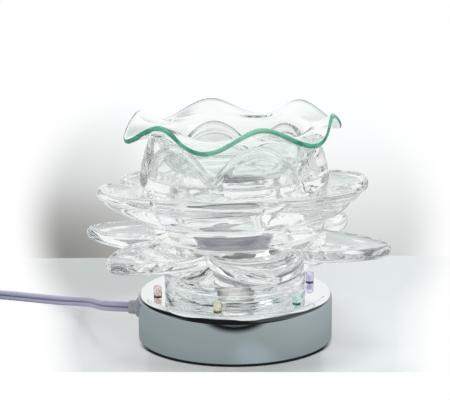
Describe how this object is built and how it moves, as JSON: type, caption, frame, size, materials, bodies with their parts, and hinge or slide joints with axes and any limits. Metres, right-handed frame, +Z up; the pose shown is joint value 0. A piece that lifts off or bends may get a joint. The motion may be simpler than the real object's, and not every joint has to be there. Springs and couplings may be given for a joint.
{
  "type": "touch lamp oil burner",
  "caption": "Scented-oil warmer: a clear pressed-glass flower with a wavy-rimmed dish on a round chromed touch-lamp base with indicator lights and a mains cord.",
  "frame": {"origin": "on the flower's axis, at table level under the rubber feet", "axes": "+Z up along the flower's axis, -Y towards the front that the picture shows, +X to the right; the cord leaves on the left, -X"},
  "size_m": [0.3455, 0.1891, 0.1419],
  "materials": {
    "chrome": "polished chrome plate on pressed steel",
    "cover_plastic": "moulded, fine grain",
    "steel": "zinc plated",
    "rubber": "matt",
    "ceramic": "unglazed",
    "brass": "bright",
    "board": "solder mask",
    "lens_red": "clear tinted epoxy",
    "lens_yellow": "clear tinted epoxy",
    "lens_green": "clear tinted epoxy",
    "lens_violet": "clear tinted epoxy",
    "lens_blue": "clear tinted epoxy",
    "lens_white": "clear epoxy",
    "tinned_wire": "tinned",
    "module_case": "moulded",
    "block_plastic": "moulded",
    "lead_grey": "wire insulation",
    "lead_blue": "wire insulation",
    "lead_white": "wire insulation",
    "lead_red": "wire insulation",
    "lead_green": "wire insulation",
    "lamp_glass": "pressed, aluminised inside",
    "clear_glass": "pressed and fire polished, clear",
    "green_glass": "pressed, green at its rim",
    "cord_plastic": "clear insulation over two stranded cores",
    "gland_plastic": "moulded",
    "tie_plastic": "moulded"
  },
  "bodies": {
    "base": {"base_shell": "chrome", "base_cover": "cover_plastic", "cover_posts": "steel", "cover_screws": "steel", "rubber_feet": "rubber", "lamp_bracket": "steel", "bracket_screws": "steel", "bracket_nuts": "steel", "lamp_holder": "ceramic", "holder_contacts": "brass", "holder_screws": "steel", "led_board": "board", "led_red": "lens_red", "led_yellow": "lens_yellow", "led_green": "lens_green", "led_violet": "lens_violet", "led_blue": "lens_blue", "led_white": "lens_white", "led_legs": "tinned_wire", "touch_module": "module_case", "terminal_block": "block_plastic", "supply_leads": "lead_grey", "module_leads": "lead_blue", "lamp_leads": "lead_white", "led_leads": "lead_red", "touch_lead": "lead_green", "cord_gland": "gland_plastic", "power_cord": "cord_plastic", "cord_coil": "cord_plastic", "cord_tie": "tie_plastic", "plug_body": "cord_plastic", "plug_blades": "brass"},
    "bulb": {"lamp_base": "ceramic", "lamp_pins": "tinned_wire", "lamp_reflector": "lamp_glass", "lamp_front_glass": "clear_glass", "lamp_capsule": "clear_glass"},
    "flower": {"glass_foot_ring": "clear_glass", "lower_petals": "clear_glass", "middle_petals": "clear_glass", "upper_petals": "clear_glass"},
    "dish": {"oil_dish": "green_glass"}
  },
  "joints": [
    {"name": "flower_lift", "type": "slide", "parent": "base", "child": "flower", "axis": [0, 0, 1], "range_m": [0, 0.06]},
    {"name": "dish_lift", "type": "slide", "parent": "flower", "child": "dish", "axis": [0, 0, 1], "range_m": [0, 0.04]},
    {"name": "bulb_pull", "type": "slide", "parent": "base", "child": "bulb", "axis": [0, 0, 1], "range_m": [0, 0.009]}
  ]
}
